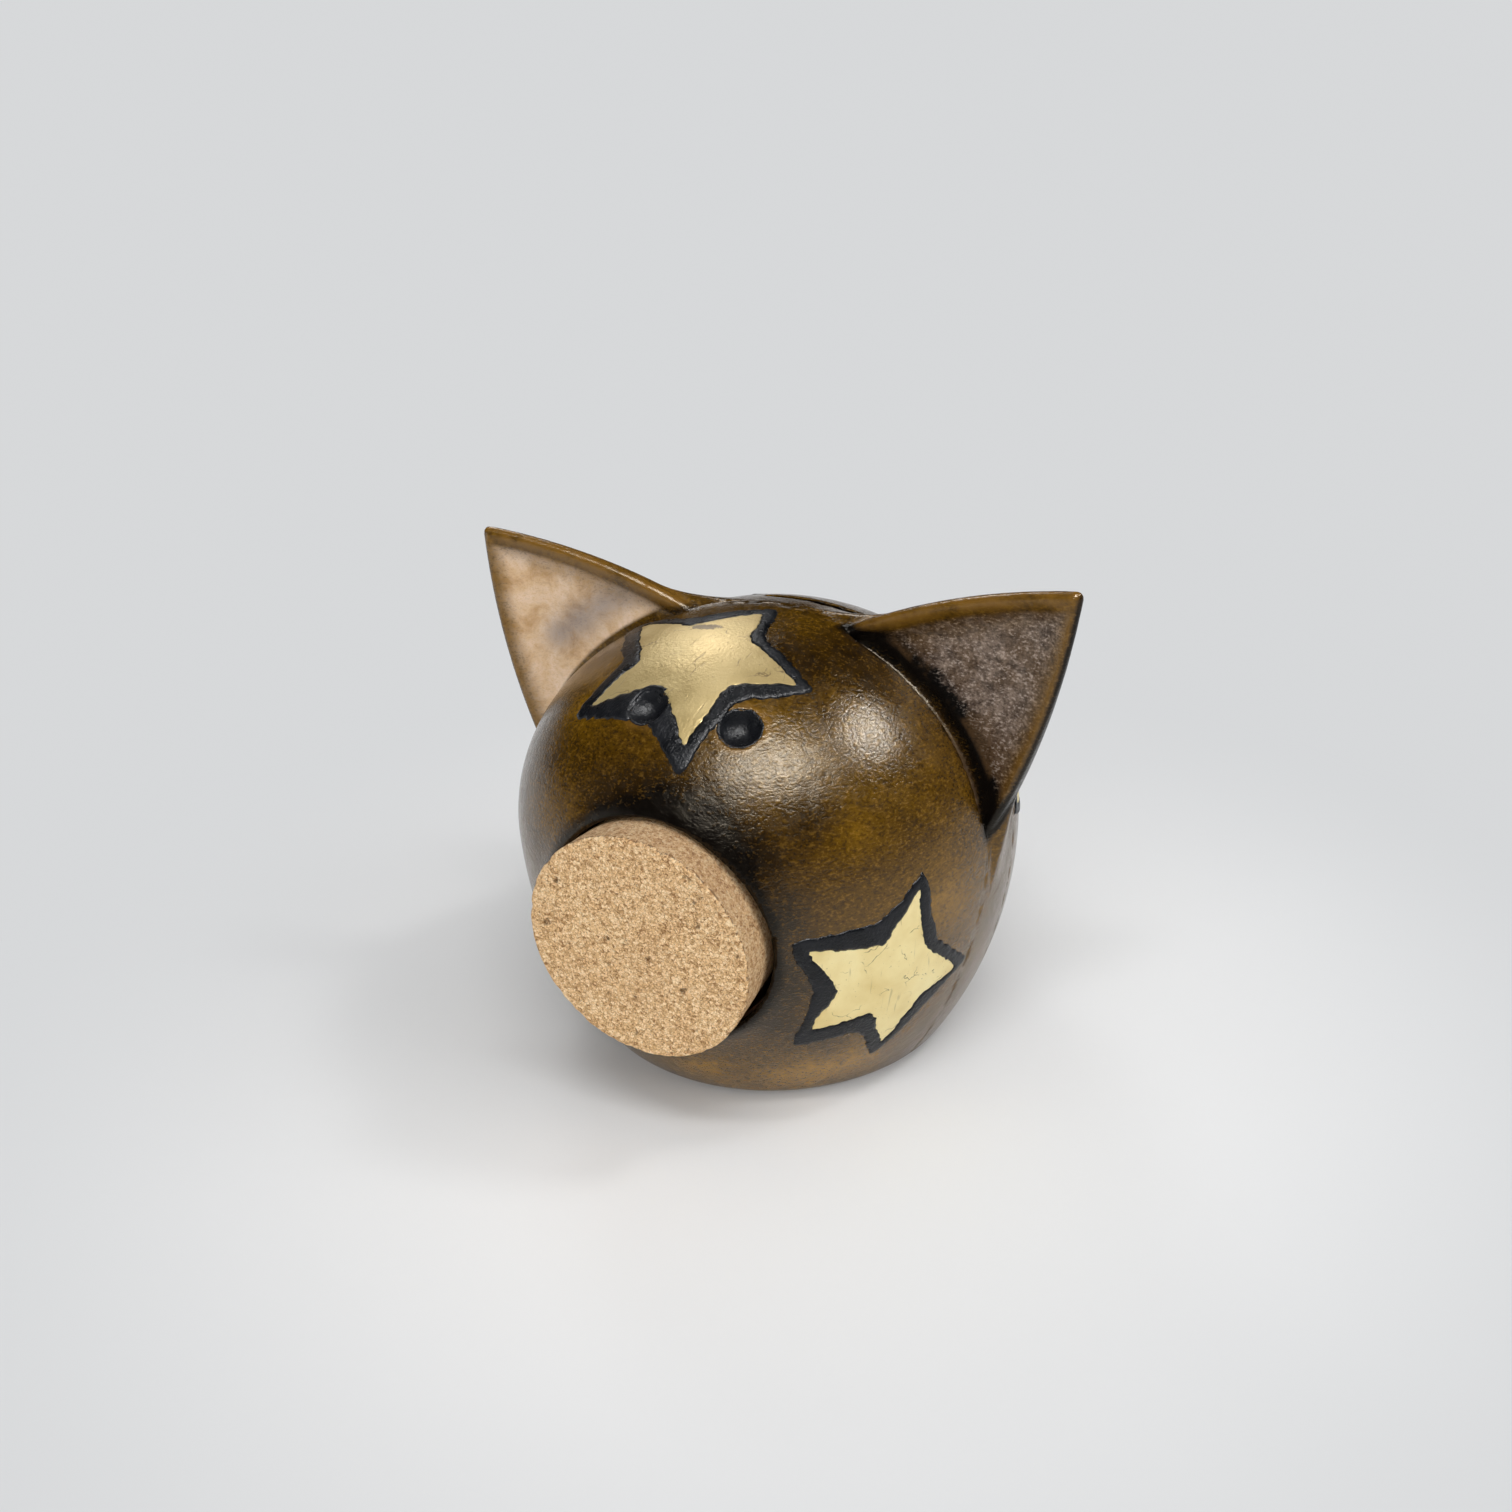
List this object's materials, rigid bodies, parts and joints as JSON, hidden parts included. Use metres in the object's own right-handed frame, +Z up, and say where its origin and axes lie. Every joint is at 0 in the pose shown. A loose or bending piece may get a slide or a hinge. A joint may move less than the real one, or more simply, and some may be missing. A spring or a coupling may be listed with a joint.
{
  "type": "piggy bank",
  "caption": "Hollow round clay piggy bank with a coin slot behind the ears, a tapered cork snout that pulls out to empty it, pressed eyes and gold-leaf stars.",
  "frame": {"origin": "centre of the foot, on the table", "axes": "+Z up, -Y the way the pig looks, +X the pig's left side"},
  "size_m": [0.1762, 0.1518, 0.1356],
  "materials": {
    "clay": "satin",
    "cork": "matte",
    "gold_leaf": "satin",
    "black_paint": "satin"
  },
  "bodies": {
    "pot": {"body_shell": "clay", "ear_left": "clay", "ear_right": "clay", "tail": "clay", "eye_paint_left": "black_paint", "eye_paint_right": "black_paint", "star_leaf_forehead": "gold_leaf", "star_leaf_left_cheek": "gold_leaf", "star_leaf_left_flank": "gold_leaf", "star_leaf_right_flank": "gold_leaf", "star_leaf_rump": "gold_leaf", "star_outline_forehead": "black_paint", "star_outline_left_cheek": "black_paint", "star_outline_left_flank": "black_paint", "star_outline_right_flank": "black_paint", "star_outline_rump": "black_paint"},
    "stopper": {"cork_stopper": "cork"}
  },
  "joints": [
    {"name": "stopper_pull", "type": "slide", "parent": "pot", "child": "stopper", "axis": [0, -1, 0], "range_m": [0, 0.06]}
  ]
}
